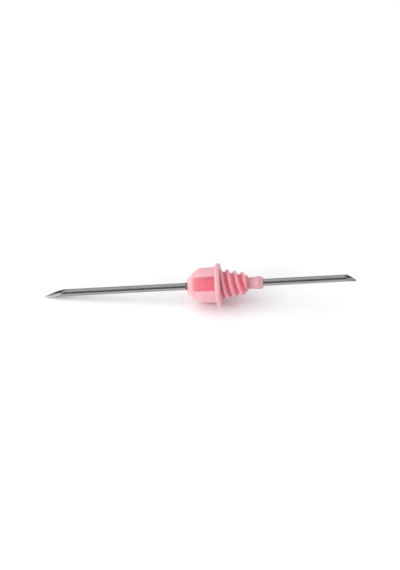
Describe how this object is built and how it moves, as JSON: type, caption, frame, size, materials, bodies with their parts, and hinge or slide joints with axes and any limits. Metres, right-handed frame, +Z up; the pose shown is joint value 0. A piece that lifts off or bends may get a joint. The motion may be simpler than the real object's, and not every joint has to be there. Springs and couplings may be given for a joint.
{
  "type": "blood collection needle",
  "caption": "Straight steel tube needle, ground to a point at both ends and glued through a grooved plastic hub with a flange and a tapered screw thread.",
  "frame": {"origin": "on the surface that the needle lies on, under the middle of its bounding box", "axes": "+X runs along the needle from the front (patient) point towards the rear (tube) point, +Z is up, on the bevel side, and the picture was taken from the -Y side; the needle's own axis rises 5.9 degrees from the front to the rear because it lies on its front point and on the flange's rim"},
  "size_m": [0.0546, 0.0076, 0.0076],
  "materials": {
    "steel": "drawn tube with fine lengthwise lines, ground points brighter",
    "hub_plastic": "moulded polypropylene, slightly translucent, satin gloss",
    "adhesive": "cured amber-brown epoxy, smooth and glossy"
  },
  "bodies": {
    "root": {"cannula": "steel", "hub": "hub_plastic", "adhesive": "adhesive"}
  },
  "joints": []
}
